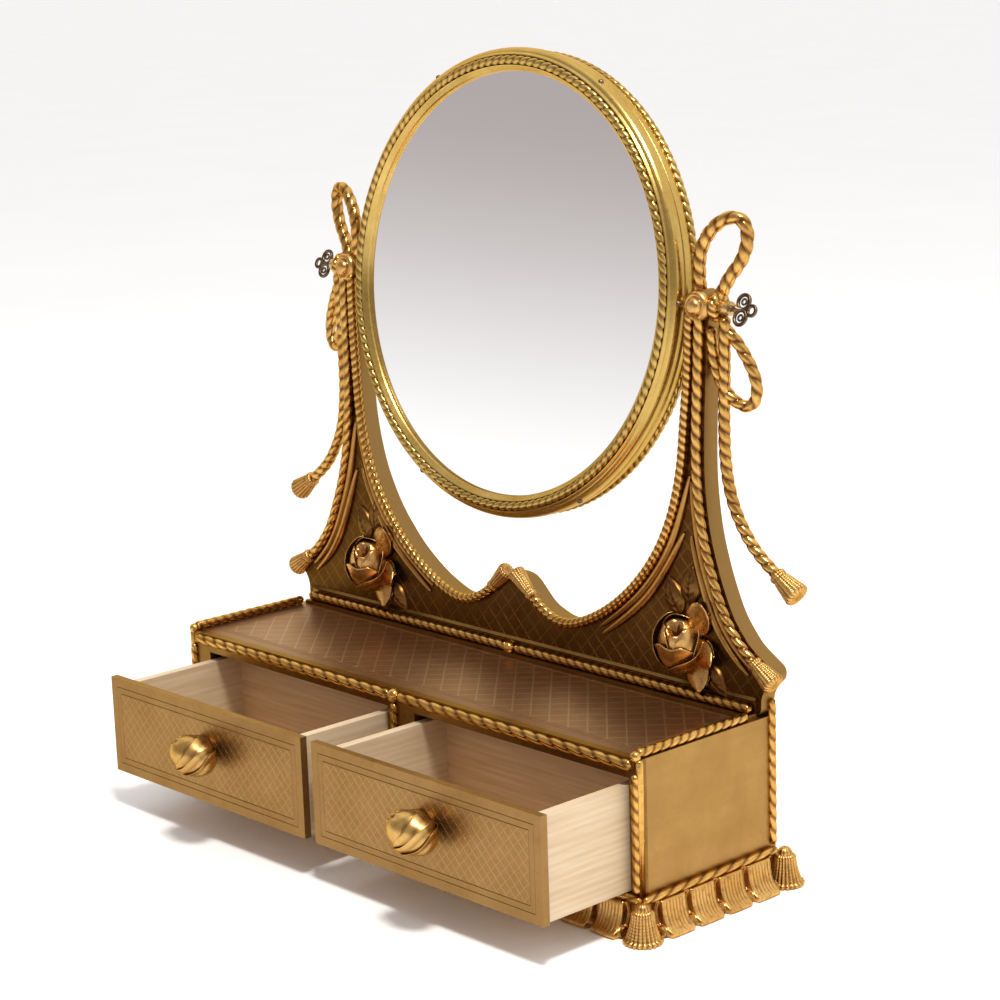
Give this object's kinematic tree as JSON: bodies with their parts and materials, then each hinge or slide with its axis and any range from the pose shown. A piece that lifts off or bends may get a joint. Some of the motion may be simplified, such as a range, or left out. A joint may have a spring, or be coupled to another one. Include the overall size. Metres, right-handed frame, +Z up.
{
  "type": "table-top dressing mirror with drawers",
  "caption": "Round mirror tilting between carved rope-and-tassel posts on a low fringed case with rosebud-knobbed drawers.",
  "frame": {"origin": "centre of the plinth's underside, on the table", "axes": "+X to the right seen from the front, +Y to the back, +Z up; the drawers open towards -Y"},
  "size_m": [0.4842, 0.245, 0.505],
  "materials": {
    "case_gilt": "gilt, satin, finely crosshatched",
    "carved_gilt": "gilt over red-brown ground, satin",
    "mirror_gilt": "burnished gilt",
    "silvered_glass": "polished",
    "bare_wood": "bare pale timber",
    "brass_fittings": "satin",
    "bronze_key": "dark patina"
  },
  "bodies": {
    "stand": {"base_board": "case_gilt", "plinth_frame": "case_gilt", "side_panel_left": "case_gilt", "side_panel_right": "case_gilt", "front_frame": "case_gilt", "drawer_divider": "case_gilt", "case_top": "case_gilt", "stand_board": "case_gilt", "foot_moulding": "case_gilt", "stand_ribs": "case_gilt", "top_ropes": "carved_gilt", "upright_ropes": "carved_gilt", "plinth_ropes": "carved_gilt", "foot_rope": "carved_gilt", "inner_rope_left": "carved_gilt", "inner_rope_right": "carved_gilt", "outer_rope_left": "carved_gilt", "outer_rope_right": "carved_gilt", "upper_loop_left": "carved_gilt", "upper_loop_right": "carved_gilt", "lower_loop_left": "carved_gilt", "lower_loop_right": "carved_gilt", "tail_rope_left": "carved_gilt", "tail_rope_right": "carved_gilt", "bow_knot_left": "carved_gilt", "bow_knot_right": "carved_gilt", "pivot_bosses": "carved_gilt", "corner_tassels": "carved_gilt", "stand_tassels": "carved_gilt", "fringe_front": "carved_gilt", "fringe_left": "carved_gilt", "fringe_right": "carved_gilt", "rose_left": "carved_gilt", "rose_right": "carved_gilt", "rose_leaves": "carved_gilt", "case_back": "case_gilt"},
    "mirror": {"mirror_front_frame": "mirror_gilt", "mirror_rear_frame": "mirror_gilt", "mirror_glass": "silvered_glass", "mirror_backing": "bare_wood", "front_ring_rope": "mirror_gilt", "rear_ring_rope": "mirror_gilt", "frame_screws": "brass_fittings", "pivot_bushes": "brass_fittings"},
    "drawer_left": {"drawer_front_left": "case_gilt", "drawer_sides_left": "bare_wood", "drawer_back_left": "bare_wood", "drawer_bottom_left": "bare_wood", "drawer_knob_left": "carved_gilt", "knob_screw_left": "brass_fittings"},
    "thumbscrew_left": {"key_left": "bronze_key", "key_collar_left": "brass_fittings"},
    "drawer_right": {"drawer_front_right": "case_gilt", "drawer_sides_right": "bare_wood", "drawer_back_right": "bare_wood", "drawer_bottom_right": "bare_wood", "drawer_knob_right": "carved_gilt", "knob_screw_right": "brass_fittings"},
    "thumbscrew_right": {"key_right": "bronze_key", "key_collar_right": "brass_fittings"}
  },
  "joints": [
    {"name": "drawer_slide_left", "type": "slide", "parent": "stand", "child": "drawer_left", "axis": [0, -1, 0], "range_m": [-0.0678, 0.014]},
    {"name": "drawer_slide_right", "type": "slide", "parent": "stand", "child": "drawer_right", "axis": [0, -1, 0], "range_m": [-0.0678, 0.014]},
    {"name": "mirror_tilt", "type": "hinge", "parent": "stand", "child": "mirror", "pos_m": [0, 0.0584, 0.3545], "axis": [1, 0, 0], "continuous": true},
    {"name": "thumbscrew_turn_left", "type": "hinge", "parent": "stand", "child": "thumbscrew_left", "pos_m": [-0.18, 0.0584, 0.3545], "axis": [-1, 0, 0], "continuous": true},
    {"name": "thumbscrew_turn_right", "type": "hinge", "parent": "stand", "child": "thumbscrew_right", "pos_m": [0.18, 0.0584, 0.3545], "axis": [1, 0, 0], "continuous": true}
  ]
}
